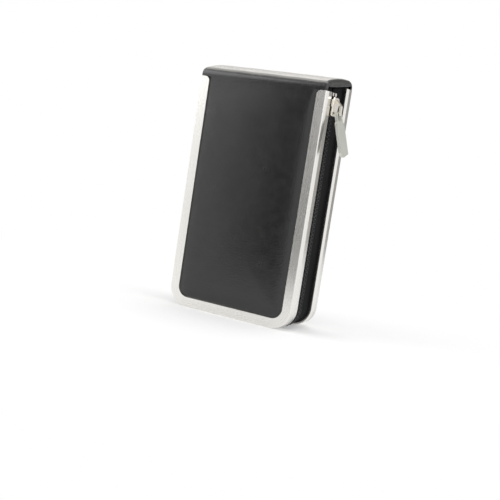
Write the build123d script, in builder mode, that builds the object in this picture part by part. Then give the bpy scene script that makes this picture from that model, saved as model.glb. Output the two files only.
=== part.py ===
from build123d import *
import os
from math import atan2, ceil, cos, hypot, radians, sin

# Zipped manicure set case: two trays in bent metal trims, joined by one leather strip that
# bends over the top as a double fold, and closed by a coil zip down one side, under the
# bottom and up the other. The rear tray is the taller, so the top slopes to the front.
# Millimetres, +Z up, the front faces -Y, and the origin is the middle of the footprint that
# the two trims stand on.

# --- the case as a whole ---
CASE_WIDTH = 60.0
CASE_DEPTH = 25.0
FRAME_HEIGHT = 100.0  # to the upper ends of the front trim
REAR_RISE = 3.0  # how much higher the rear trim reaches
CORNER_RADIUS = 9.0  # the trims' outer bottom corners
FRONT_DEPTH = 9.0  # from the front face to the middle of the zip
CLEARANCE = 0.1  # between pieces that lie side by side
OVERRUN = 1.0  # how far a cut runs past what it opens

# --- trims: sheet metal bent to an L and carried round three sides ---
TRIM_SHEET = 0.6
FACE_FLANGE = 4.2
SIDE_FLANGE = 5.7
TRIM_BEND = 0.4
FLANGE_END_RADIUS = 2.0

# --- panels, from the outside in ---
LEATHER = 0.8
PUFF_SLOPE = 5.0  # width over which the padding rises from the flange
BOARD = 1.2
LINING = 0.4
RIM = 1.0
TAPE = 0.5
LINING_WALL = 0.8
TOOL_PANEL = 1.0
TOOL_PANEL_MARGIN = 5.0
TOOL_PANEL_CORNER = 5.0
TIGHTEST_CORNER = 1.2  # of an outline that is drawn in further than the corner radius

# --- spine: the padded strip between the two folds ---
LIP = 1.0  # leather that stands above the trims' ends
SPINE_THICKNESS = 2.2
SPINE_CROWN = 0.8
SPINE_END_RADIUS = 1.2
SPINE_BOARD = 0.6
FOLD_INSET = 0.9  # fold axis, in from both outer faces of the leather

# --- zip ---
COIL_HALF_WIDTH = 1.8
COIL_THICKNESS = 1.5
TOOTH_PITCH = 1.6
TOOTH_WIDTH = 0.6
TOOTH_TIP = 0.2
TOOTH_REACH = 0.5  # past the middle of the zip, into the other row
TAPE_EDGE = 0.7  # tape edge from the middle of the zip
STOP_LENGTH = 1.5
STOP_GAP = 0.3
STOP_ROUND = 0.3

# --- slider ---
SLIDER_DROP = 1.8  # from the front trim's upper ends down to the slider's top end
SLIDER_LENGTH = 7.8
SHOULDER_HALF_WIDTH = 2.9
SHOULDER_LENGTH = 3.6
HEEL_HALF_WIDTH = 2.45
SLIDER_PLATE = 1.0
SLIDER_EDGE = 0.45  # rounding of the top plate
RAIL = 0.5
RAIL_LENGTH = 4.0
DIVIDER_WIDTH = 1.0
DIVIDER_LENGTH = 2.0
CROWN_WIDTH = 2.0
CROWN_METAL = 0.6
CROWN_LENGTH = 7.15
CROWN_SETBACK = 0.3  # from the slider's top end
CROWN_SLOPE = 0.4  # share of the crown's length that slopes up to its peak
RUNNING = 0.15  # clearance round what the slider and the pull slide on

# --- pull tab: a pin, two short arms that make its eye, and a wider blade ---
PULL_LENGTH = 19.4  # along its front edge
PULL_SLANT = 2.6  # how much shorter its rear edge is
PULL_WIDTH = 7.4
PULL_EYE_WIDTH = 5.2
PULL_EYE_LENGTH = 3.4
PULL_SHOULDER = 1.2  # length over which the arms widen to the blade
PULL_THICKNESS = 1.1
PULL_FRONT_CORNER = 2.2
PULL_REAR_CORNER = 1.0
PULL_SWING = 18.5  # degrees that the tab stands off the side
PIN_RADIUS = 0.45
PIN_GAP = 0.9  # from the slider's top plate to the pin

# --- tool straps: (middle of the loop, its width) as shares of the tool panel's width ---
FRONT_LOOPS = ((-0.33, 0.22), (-0.03, 0.20), (0.29, 0.26))
REAR_LOOPS = ((-0.31, 0.28), (0.02, 0.22), (0.32, 0.24))
FRONT_LOOP_HEIGHT = 4.4
REAR_LOOP_HEIGHT = 7.5
STRAP = 0.5
STRAP_WIDTH = 10.0
STRAP_BEND = 1.2
LOOP_LEAN = 0.5
STRAP_HEIGHTS = {"lower": 0.32, "upper": 0.66}  # as shares of the front trim's height

# --- places worked out from the sizes above ---
HALF_WIDTH = CASE_WIDTH / 2
ZIP_Y = FRONT_DEPTH - CASE_DEPTH / 2
BOARD_DEPTH = TRIM_SHEET + LEATHER
LINING_DEPTH = BOARD_DEPTH + BOARD
PANEL_DEPTH = LINING_DEPTH + LINING
STRAP_DEPTH = PANEL_DEPTH + TOOL_PANEL
TAPE_INSET = TRIM_SHEET + RIM
PANEL_WIDTH = CASE_WIDTH - 2 * TOOL_PANEL_MARGIN
PANEL_HEIGHT = FRAME_HEIGHT - 2 * TOOL_PANEL_MARGIN
WALL_INSET = TAPE_INSET + TAPE + CLEARANCE

PEAK = FRAME_HEIGHT + REAR_RISE + LIP
OPENED = PEAK + OVERRUN

# The spine clears the lips all the way round its folds. Its own plane has X along it from
# the front fold to the rear one, Y up out of it, and its origin half way between them.
FOLD_Y = CASE_DEPTH / 2 - FOLD_INSET
FOLD_REACH = hypot(FOLD_INSET, SPINE_THICKNESS - FOLD_INSET) + CLEARANCE
FRONT_FOLD_Z = FRAME_HEIGHT + LIP + FOLD_REACH
SPINE_TILT = atan2(REAR_RISE, 2 * FOLD_Y)
SPINE_REACH = hypot(REAR_RISE, 2 * FOLD_Y) / 2 + FOLD_INSET
SPINE_UNDER = FOLD_INSET - SPINE_THICKNESS
SPINE_MIDDLE = (0, 0, FRONT_FOLD_Z + REAR_RISE / 2)
SPINE_PLANE = Plane(
    origin=SPINE_MIDDLE, x_dir=(0, cos(SPINE_TILT), sin(SPINE_TILT)), z_dir=(1, 0, 0)
)
SPINE_UP = Axis(SPINE_MIDDLE, SPINE_PLANE.y_dir)
LIP_PLANE = Plane(origin=SPINE_MIDDLE, x_dir=(1, 0, 0), z_dir=SPINE_PLANE.y_dir).offset(
    -FOLD_REACH * cos(SPINE_TILT)
)

# The slider's top plate runs just clear of the trim's side, and its lower plate inside.
SLIDER_TOP = FRAME_HEIGHT - SLIDER_DROP
PLATE_INNER = HALF_WIDTH + RUNNING
PLATE_OUTER = PLATE_INNER + SLIDER_PLATE
UNDER_PLATE_X = HALF_WIDTH - TAPE_INSET - TAPE - RUNNING
PIN_ROOM = PIN_RADIUS + RUNNING
HINGE_X = PLATE_OUTER + PIN_GAP + PIN_RADIUS
CROWN_PEAK = HINGE_X + PIN_ROOM + CROWN_METAL
HINGE_Z = SLIDER_TOP - CROWN_SETBACK - CROWN_LENGTH + CROWN_METAL + PIN_ROOM

# Each half as its name, its side of the case, its height, its depth to the middle of the
# zip, its strap loops and their height.
FRONT = ("front", -1, FRAME_HEIGHT, FRONT_DEPTH, FRONT_LOOPS, FRONT_LOOP_HEIGHT)
REAR = (
    "rear", 1, FRAME_HEIGHT + REAR_RISE, CASE_DEPTH - FRONT_DEPTH, REAR_LOOPS, REAR_LOOP_HEIGHT
)


def keep(piece, name):
    """Label a finished piece and write it as its own STEP file."""
    piece.part.label = name
    export_step(piece.part, f"parts/{name}.step")


def inward(side, depth):
    """The plane at a depth below a half's outer face, facing into the case, with Z as its Y."""
    return Plane(
        origin=(0, side * (CASE_DEPTH / 2 - depth), 0), x_dir=(side, 0, 0), z_dir=(0, -side, 0)
    )


def tub(inset, top):
    """Sketch the case's outline, drawn in on three sides by an inset, up to a height."""
    with Locations((0, inset)):
        outline = Rectangle(CASE_WIDTH - 2 * inset, top - inset, align=(Align.CENTER, Align.MIN))
    fillet(outline.vertices().group_by(Axis.Y)[0], max(CORNER_RADIUS - inset, TIGHTEST_CORNER))


def slab(side, depth, thickness, inset, top, mode=Mode.ADD):
    """Extrude the case's outline inwards from a depth below a half's outer face."""
    with BuildSketch(inward(side, depth)) as outline:
        tub(inset, top)
    extrude(outline.sketch, amount=thickness, mode=mode)


def wall(side, start, end, inset, thickness, top):
    """A U of even thickness that follows the case's outline, from one depth to another."""
    slab(side, start, end - start, inset, top)
    slab(side, start, end - start, inset + thickness, top + OVERRUN, Mode.SUBTRACT)


def puff(side, depth, rise, inset, top, mode=Mode.ADD):
    """A pillow that stands on a plane and slopes up to its full height on three sides."""
    with BuildSketch(inward(side, depth)) as foot:
        tub(inset, top)
    with BuildSketch(inward(side, depth - rise)) as crest:
        tub(inset + PUFF_SLOPE, top)
    loft([foot.sketch, crest.sketch], mode=mode)


def roof():
    """Cut away what stands above the slope that joins the two lips, under the spine."""
    with BuildSketch(LIP_PLANE) as above:
        Rectangle(2 * CASE_WIDTH, 2 * CASE_DEPTH)
    extrude(above.sketch, amount=CASE_DEPTH, mode=Mode.SUBTRACT)


os.makedirs("parts", exist_ok=True)

# The two halves are built alike, from the outer face inwards. Only the height, the zip's
# place, which is nearer the front, and the loops differ. The inner walls of both are drawn
# up to the rear lip, the peak, and cut off by the roof.
for half, side, height, zip_depth, loops, loop_height in (FRONT, REAR):
    lip_top = height + LIP
    # Bent trim: a face flange and a side flange round a shared outer bend.
    with BuildPart() as trim:
        slab(side, 0, SIDE_FLANGE, 0, height)
        ridge = trim.faces().sort_by(Axis.Y)[0 if side < 0 else -1].edges()
        fillet(ridge.sort_by(Axis.Z)[:-1], TRIM_BEND)
        slab(side, TRIM_SHEET, SIDE_FLANGE, TRIM_SHEET, OPENED, Mode.SUBTRACT)
        slab(side, 0, TRIM_SHEET, FACE_FLANGE, OPENED, Mode.SUBTRACT)
        ends = trim.edges().filter_by(Axis.Y).group_by(Axis.Z)[-1]
        fillet(ends.sort_by(lambda edge: abs(edge.center().X))[:2], FLANGE_END_RADIUS)
    keep(trim, f"{half}_trim")

    # Leather: a sheet under the flange, puffed up in the window, with a lip over the trim's
    # ends, where it turns into the fold.
    with BuildPart() as leather:
        slab(side, TRIM_SHEET, LEATHER, TRIM_SHEET, lip_top)
        puff(side, TRIM_SHEET, TRIM_SHEET, FACE_FLANGE + CLEARANCE, height + CLEARANCE)
        with BuildSketch(inward(side, 0)):
            with Locations((0, lip_top)):
                Rectangle(CASE_WIDTH, LIP - CLEARANCE, align=(Align.CENTER, Align.MAX))
        extrude(amount=BOARD_DEPTH)
        hollow = (side, BOARD_DEPTH, TRIM_SHEET, FACE_FLANGE + LEATHER, height + CLEARANCE)
        puff(*hollow, Mode.SUBTRACT)
    keep(leather, f"{half}_leather")

    # Foam that lifts the leather.
    with BuildPart() as padding:
        puff(*hollow)
    keep(padding, f"{half}_padding")

    # Stiff board that the leather is stretched over.
    with BuildPart() as board:
        slab(side, BOARD_DEPTH, BOARD, TAPE_INSET + CLEARANCE, lip_top)
        roof()
    keep(board, f"{half}_board")

    # Rim that holds the trim's side flange and clamps the zip tape.
    with BuildPart() as rim:
        wall(side, BOARD_DEPTH, SIDE_FLANGE - CLEARANCE, TRIM_SHEET, RIM, height)
    keep(rim, f"{half}_rim")

    # Lining: a floor on the board, and a wall inside the tape that stops short of the slider.
    wall_end = zip_depth - SHOULDER_HALF_WIDTH - RUNNING
    with BuildPart() as lining:
        slab(side, LINING_DEPTH, wall_end - LINING_DEPTH, WALL_INSET, PEAK)
        slab(side, PANEL_DEPTH, wall_end, WALL_INSET + LINING_WALL, OPENED, Mode.SUBTRACT)
        roof()
    keep(lining, f"{half}_lining")

    # Zip tape, clamped under the rim, with its free edge short of the middle of the zip.
    with BuildPart() as tape:
        wall(side, LINING_DEPTH + CLEARANCE, zip_depth - TAPE_EDGE, TAPE_INSET, TAPE, PEAK)
        roof()
    keep(tape, f"{half}_zip_tape")

    # Padded panel that the tool straps are sewn to.
    with BuildPart() as tool_panel:
        with BuildSketch(inward(side, PANEL_DEPTH)):
            with Locations((0, FRAME_HEIGHT / 2)):
                RectangleRounded(PANEL_WIDTH, PANEL_HEIGHT, TOOL_PANEL_CORNER)
        extrude(amount=TOOL_PANEL)
    keep(tool_panel, f"{half}_tool_panel")

    # Elastic straps from edge to edge of the panel, sewn down between their loops.
    for place, share in STRAP_HEIGHTS.items():
        points = [(-PANEL_WIDTH / 2, 0)]
        for middle_share, width_share in loops:
            middle, low = middle_share * PANEL_WIDTH, width_share * PANEL_WIDTH / 2
            high = low - LOOP_LEAN
            points += [(middle - low, 0), (middle - high, loop_height)]
            points += [(middle + high, loop_height), (middle + low, 0)]
        points += [(PANEL_WIDTH / 2, 0)]
        strap_plane = Plane(
            origin=(0, side * (CASE_DEPTH / 2 - STRAP_DEPTH), share * FRAME_HEIGHT),
            x_dir=(1, 0, 0),
            z_dir=(0, 0, -side),
        )
        with BuildPart() as strap:
            with BuildSketch(strap_plane):
                with BuildLine():
                    FilletPolyline(*points, radius=STRAP_BEND)
                    offset(amount=STRAP, side=Side.LEFT)
                make_face()
            extrude(amount=STRAP_WIDTH / 2, both=True)
        keep(strap, f"{half}_{place}_strap")

# --- zip rows ---
# The rows follow the tapes' outer faces. Teeth of one row stand half a pitch from those of
# the other, and their heads reach between them.
CHAIN_TOP = SLIDER_TOP - DIVIDER_LENGTH - TOOTH_WIDTH
CHAIN_X = HALF_WIDTH - TAPE_INSET

with BuildLine(Plane.XZ) as chain:
    FilletPolyline(
        (-CHAIN_X, CHAIN_TOP),
        (-CHAIN_X, TAPE_INSET),
        (CHAIN_X, TAPE_INSET),
        (CHAIN_X, CHAIN_TOP),
        radius=CORNER_RADIUS - TAPE_INSET,
    )
chain_wire = chain.wire()
tooth_count = ceil(chain_wire.length / TOOTH_PITCH) - 1


def tooth_plane(side, distance):
    """The plane of a tooth's foot on the tape, with X into its own half and Z outwards."""
    spot = chain_wire.position_at(distance, position_mode=PositionMode.LENGTH)
    along = chain_wire.tangent_at(distance, position_mode=PositionMode.LENGTH)
    return Plane(
        origin=spot + Vector(0, ZIP_Y, 0), x_dir=(0, side, 0), z_dir=Vector(0, 1, 0).cross(along)
    )


with BuildPart() as tooth:
    with BuildSketch():
        Polygon(
            (COIL_HALF_WIDTH, TOOTH_WIDTH / 2),
            (TOOTH_WIDTH / 2 - TOOTH_REACH, TOOTH_WIDTH / 2),
            (-TOOTH_REACH, TOOTH_TIP / 2),
            (-TOOTH_REACH, -TOOTH_TIP / 2),
            (TOOTH_WIDTH / 2 - TOOTH_REACH, -TOOTH_WIDTH / 2),
            (COIL_HALF_WIDTH, -TOOTH_WIDTH / 2),
            align=None,
        )
    extrude(amount=COIL_THICKNESS)

for half, side, *_ in (FRONT, REAR):
    first = TOOTH_WIDTH if side < 0 else TOOTH_WIDTH + TOOTH_PITCH / 2
    with BuildPart() as teeth:
        places = [tooth_plane(side, first + turn * TOOTH_PITCH) for turn in range(tooth_count)]
        with Locations(*places):
            add(tooth.part)
    keep(teeth, f"{half}_zip_teeth")

    # Stop at the closed end, clamped on this half's tape above the slider.
    with BuildPart() as top_stop:
        with BuildSketch(Plane.YZ.offset(CHAIN_X)):
            with Locations((ZIP_Y + side * TAPE_EDGE, SLIDER_TOP + STOP_GAP)):
                Rectangle(
                    COIL_HALF_WIDTH - TAPE_EDGE,
                    STOP_LENGTH,
                    align=(Align.MAX if side < 0 else Align.MIN, Align.MIN),
                )
        extrude(amount=COIL_THICKNESS)
        fillet(top_stop.faces().sort_by(Axis.X)[-1].edges(), STOP_ROUND)
    keep(top_stop, f"{half}_top_stop")

# Stop at the far end of the zip, a box that holds the two rows together.
with BuildPart() as bottom_stop:
    with BuildSketch(Plane.YZ.offset(-CHAIN_X)):
        with Locations((ZIP_Y, CHAIN_TOP + STOP_GAP)):
            Rectangle(2 * COIL_HALF_WIDTH, 2 * STOP_LENGTH, align=(Align.CENTER, Align.MIN))
    extrude(amount=-COIL_THICKNESS)
    fillet(bottom_stop.faces().sort_by(Axis.X)[0].edges(), STOP_ROUND)
keep(bottom_stop, "zip_bottom_stop")

# --- spine ---


def spine_section(skin, mode=Mode.ADD):
    """Extrude the spine's section, rounded at its shoulders, from under a skin downwards."""
    reach, shoulder = SPINE_REACH - skin, FOLD_INSET - skin
    with BuildSketch(SPINE_PLANE) as section_sketch:
        with BuildLine():
            Polyline(
                (-reach, shoulder), (-reach, SPINE_UNDER), (reach, SPINE_UNDER), (reach, shoulder)
            )
            ThreePointArc((reach, shoulder), (0, shoulder + SPINE_CROWN), (-reach, shoulder))
        section = make_face()
        fillet(section.vertices().sort_by(Axis.Y)[-2:], shoulder - SPINE_UNDER - CLEARANCE)
    extrude(section_sketch.sketch, amount=HALF_WIDTH - skin, both=True, mode=mode)


# Leather: the crowned top and its four turned-down edges, flush with both faces.
with BuildPart() as spine_leather:
    spine_section(0)
    for end in (0, -1):
        end_edges = spine_leather.faces().sort_by(Axis.X)[end].edges()
        fillet(end_edges.sort_by(SPINE_UP)[1:], SPINE_END_RADIUS)
    with BuildSketch(Plane.XY.offset(FRAME_HEIGHT)):
        Rectangle(CASE_WIDTH, CASE_DEPTH)
    extrude(amount=CASE_DEPTH, mode=Mode.INTERSECT)
    spine_section(LEATHER, Mode.SUBTRACT)
keep(spine_leather, "spine_leather")

# Lining, board and foam fill it, one on the other.
BOARD_UNDER = SPINE_UNDER + LINING
FOAM_UNDER = BOARD_UNDER + SPINE_BOARD
for name, low, high in (
    ("spine_lining", SPINE_UNDER, BOARD_UNDER),
    ("spine_board", BOARD_UNDER, FOAM_UNDER),
    ("spine_padding", FOAM_UNDER, FOLD_INSET + SPINE_CROWN),
):
    with BuildPart() as layer:
        spine_section(LEATHER)
        with BuildSketch(SPINE_PLANE) as layer_sketch:
            with Locations((0, low)):
                Rectangle(2 * SPINE_REACH, high - low, align=(Align.CENTER, Align.MIN))
        extrude(layer_sketch.sketch, amount=HALF_WIDTH, both=True, mode=Mode.INTERSECT)
    keep(layer, name)

# --- slider ---
# Sketched from the side, with X along the case's depth and Y up, at the slider's top end.


def from_the_side(x):
    """The plane at a distance from the case's middle, facing +X, at the slider's top end."""
    return Plane(origin=(x, ZIP_Y, SLIDER_TOP), x_dir=(0, 1, 0), z_dir=(1, 0, 0))


def slider_plate(x, shoulder):
    """One plate of the slider: shoulders at the mouth that narrow to the heel."""
    with BuildSketch(from_the_side(x)) as plate:
        with BuildLine():
            right = Polyline(
                (0, 0),
                (shoulder - SLIDER_PLATE, 0),
                (shoulder, -SLIDER_PLATE),
                (shoulder, -SHOULDER_LENGTH),
                (HEEL_HALF_WIDTH, -SHOULDER_LENGTH - SLIDER_PLATE),
                (HEEL_HALF_WIDTH, -SLIDER_LENGTH),
                (0, -SLIDER_LENGTH),
            )
            mirror(right, about=Plane.YZ)
        outline = make_face()
        fillet(outline.vertices().filter_by(lambda v: abs(v.X) > DIVIDER_WIDTH), SLIDER_PLATE / 2)
    extrude(plate.sketch, amount=SLIDER_PLATE)


with BuildPart() as slider_body:
    slider_plate(PLATE_INNER, SHOULDER_HALF_WIDTH)
    fillet(slider_body.faces().sort_by(Axis.X)[-1].edges(), SLIDER_EDGE)
    slider_plate(UNDER_PLATE_X - SLIDER_PLATE, HEEL_HALF_WIDTH + RUNNING)
    # Divider that parts the two rows in the mouth and holds the plates together.
    with BuildSketch(from_the_side(UNDER_PLATE_X)):
        with Locations((0, 0)):
            SlotOverall(
                DIVIDER_LENGTH, DIVIDER_WIDTH, rotation=90, align=(Align.MAX, Align.CENTER)
            )
    extrude(until=Until.NEXT)
    # Rails that keep the closed chain under the heel.
    with BuildSketch(from_the_side(CHAIN_X + RUNNING)):
        with Locations(
            *[
                (turn * (COIL_HALF_WIDTH + CLEARANCE + RAIL / 2), RAIL_LENGTH / 2 - SLIDER_LENGTH)
                for turn in (-1, 1)
            ]
        ):
            Rectangle(RAIL, RAIL_LENGTH)
    extrude(amount=PLATE_INNER - CHAIN_X - RUNNING)
    # Crown: the arch that the pull's eye hangs from, with its feet in the top plate.
    with BuildSketch(Plane.XZ.offset(-ZIP_Y)):
        foot = PLATE_OUTER - CROWN_METAL
        top = SLIDER_TOP - CROWN_SETBACK
        with BuildLine():
            Polyline(
                (foot, top),
                (foot, top - CROWN_LENGTH),
                (CROWN_PEAK, top - CROWN_LENGTH),
                (CROWN_PEAK, top - CROWN_LENGTH * CROWN_SLOPE),
                (foot, top),
            )
        arch = make_face()
        fillet(arch.vertices().sort_by(Axis.X)[-2:], CROWN_METAL + CLEARANCE)
        offset(arch, amount=-CROWN_METAL, mode=Mode.SUBTRACT)
    extrude(amount=CROWN_WIDTH / 2, both=True)
keep(slider_body, "slider_body")

# --- pull tab ---
# Drawn along its own length from the hinge, with a slanted end, and turned out from the
# case's side.
swing = radians(PULL_SWING)
pull_plane = Plane(
    origin=(HINGE_X, ZIP_Y, HINGE_Z), x_dir=(0, 1, 0), z_dir=(cos(swing), 0, sin(swing))
)
with BuildPart() as pull_tab:
    with BuildSketch(pull_plane):
        with BuildLine():
            Polyline(
                (-PULL_EYE_WIDTH / 2, 0),
                (-PULL_EYE_WIDTH / 2, -PULL_EYE_LENGTH),
                (-PULL_WIDTH / 2, -PULL_EYE_LENGTH - PULL_SHOULDER),
                (-PULL_WIDTH / 2, -PULL_LENGTH),
                (PULL_WIDTH / 2, PULL_SLANT - PULL_LENGTH),
                (PULL_WIDTH / 2, -PULL_EYE_LENGTH - PULL_SHOULDER),
                (PULL_EYE_WIDTH / 2, -PULL_EYE_LENGTH),
                (PULL_EYE_WIDTH / 2, 0),
                close=True,
            )
        blade = make_face()
        front_corner, rear_corner = blade.vertices().sort_by(Axis.Y)[:2]
        fillet(front_corner, PULL_FRONT_CORNER)
        fillet(rear_corner, PULL_REAR_CORNER)
        with Locations((0, 0)):
            Rectangle(
                CROWN_WIDTH + PULL_THICKNESS,
                PULL_EYE_LENGTH,
                align=(Align.CENTER, Align.MAX),
                mode=Mode.SUBTRACT,
            )
    extrude(amount=PULL_THICKNESS / 2, both=True)
    with BuildSketch(Plane.XZ.offset(-ZIP_Y)):
        with Locations((HINGE_X, HINGE_Z)):
            Circle(PIN_RADIUS)
    extrude(amount=PULL_EYE_WIDTH / 2, both=True)
keep(pull_tab, "pull_tab")
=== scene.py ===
"""Looks of a zipped manicure set case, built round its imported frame.

The case stands shut. Each half is a shallow cloth-lined tray under a leather cover in a bent
metal trim. The two covers meet on the padded spine over the top, and a coil zip with one
slider closes the other three sides. Sizes are in millimetres until a mesh is made, and those
of the studio are in metres.
"""

import logging
import math
from dataclasses import dataclass, field
from enum import Enum

import bpy
import numpy as np
from mathutils import Matrix, Vector

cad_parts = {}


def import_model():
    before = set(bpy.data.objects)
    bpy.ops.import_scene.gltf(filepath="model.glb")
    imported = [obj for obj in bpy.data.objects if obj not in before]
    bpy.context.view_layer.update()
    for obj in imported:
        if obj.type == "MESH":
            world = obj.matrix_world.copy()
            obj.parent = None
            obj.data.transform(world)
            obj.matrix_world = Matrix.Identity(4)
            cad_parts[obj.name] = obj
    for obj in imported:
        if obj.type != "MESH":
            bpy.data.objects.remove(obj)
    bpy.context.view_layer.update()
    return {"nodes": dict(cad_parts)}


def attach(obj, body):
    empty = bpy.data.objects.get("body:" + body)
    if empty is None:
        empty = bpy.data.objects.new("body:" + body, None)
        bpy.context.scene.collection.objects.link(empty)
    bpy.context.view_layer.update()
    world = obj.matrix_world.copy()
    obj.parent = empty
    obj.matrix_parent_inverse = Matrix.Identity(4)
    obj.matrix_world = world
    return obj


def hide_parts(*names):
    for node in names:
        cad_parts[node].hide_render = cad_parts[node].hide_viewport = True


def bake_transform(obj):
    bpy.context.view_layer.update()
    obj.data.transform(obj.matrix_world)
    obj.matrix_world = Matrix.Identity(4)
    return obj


LOG = logging.getLogger("manicure_case")
MM = 0.001
COIL_SIDES = 6
THREAD_SIDES = 5

Material = bpy.types.Material
Piece = bpy.types.Object
Socket = bpy.types.NodeSocket
Triple = tuple[float, float, float]
Values = np.ndarray | float
Faces = list[tuple[int, ...]]
Shape = tuple[np.ndarray, Faces]


class Half(Enum):
    """One half of the case: the prefix of its nodes, its side, its body and its trim's height."""

    FRONT = ("front", -1, "front_half", 100.0)
    REAR = ("rear", 1, "back_half", 103.0)

    def __init__(self, prefix: str, side: int, body: str, height: float) -> None:
        """Give the four values their names.

        Args:
            prefix: How the names of its nodes and pieces start.
            side: 1 for the half that faces backwards, -1 for the other.
            body: The body that it belongs to.
            height: Height of its trim.
        """
        self.prefix = prefix
        self.side = side
        self.body = body
        self.height = height


class Brushing(Enum):
    """Which way the brush lines of a metal run."""

    ROUND_THE_FRAME = "round the frame"
    UPRIGHT = "upright"


def smoothstep(value: Values, low: Values, high: Values) -> Values:
    """Ease from 0 at low to 1 at high."""
    share = np.clip((value - low) / (high - low), 0.0, 1.0)
    return share * share * (3 - 2 * share)


def rows(*parts: Values) -> np.ndarray:
    """Points as rows, from their coordinates given apart, where one number holds for all."""
    return np.stack(np.broadcast_arrays(*parts), axis=1)


@dataclass(frozen=True)
class CaseSizes:
    """Sizes of the case that the new pieces share with the frame."""

    width: float = 60.0
    depth: float = 25.0
    corner: float = 9.0
    flange: float = 4.2
    side_flange: float = 5.7
    zip_y: float = -3.5
    spine_z: float = 104.181
    spine_reach: float = 12.597
    spine_under: float = -1.3
    shoulder: float = 0.9
    crown: float = 1.15
    tilt: float = math.atan2(3.0, 23.2)
    lips: float = -1.667
    straps: tuple[tuple[str, float], ...] = (("lower", 32.0), ("upper", 66.0))

    def spine(self, half: Half, along: float, up: float) -> tuple[float, float]:
        """A place over the sloping spine, as seen from one half.

        Args:
            half: The half whose outward direction counts as forwards.
            along: Distance outwards from the middle of the spine.
            up: Distance above the line that joins the two folds.

        Returns:
            The distance outwards from the middle of the case, and the height.
        """
        tilt = self.tilt * half.side
        return (
            along * math.cos(tilt) - up * math.sin(tilt),
            self.spine_z + along * math.sin(tilt) + up * math.cos(tilt),
        )

    def crowned(self, along: float) -> float:
        """How far the spine's leather stands above its fold line."""
        share = along / self.spine_reach
        return self.shoulder + self.crown * (1 - share * share)

    def roof(self, y: float) -> float:
        """Height of the slope under the spine that the inner walls reach up to."""
        return self.spine_z + (self.lips + y * math.sin(self.tilt)) / math.cos(self.tilt)

    def inset(self, x: np.ndarray, z: Values) -> np.ndarray:
        """Distance in from the case's outline, which is open at the top.

        Args:
            x: Places across the case.
            z: Heights.

        Returns:
            How far each place lies inside the outline.
        """
        across = np.abs(x) - (self.width / 2 - self.corner)
        below = self.corner - z
        outside = np.hypot(np.maximum(across, 0), np.maximum(below, 0))
        return self.corner - (outside + np.minimum(np.maximum(across, below), 0))

    def half_width(self, z: float, inset: float) -> float:
        """Half the width of the outline, drawn in.

        Args:
            z: The height at which it is measured.
            inset: How far the outline is drawn in.

        Returns:
            The distance from the middle to the outline.
        """
        radius = self.corner - inset
        drop = max(self.corner - z, 0.0)
        straight = self.width / 2 - self.corner
        return straight + math.sqrt(max(radius * radius - drop * drop, 0.0))


CASE = CaseSizes()


# ---------------------------------------------------------------- materials


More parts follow.
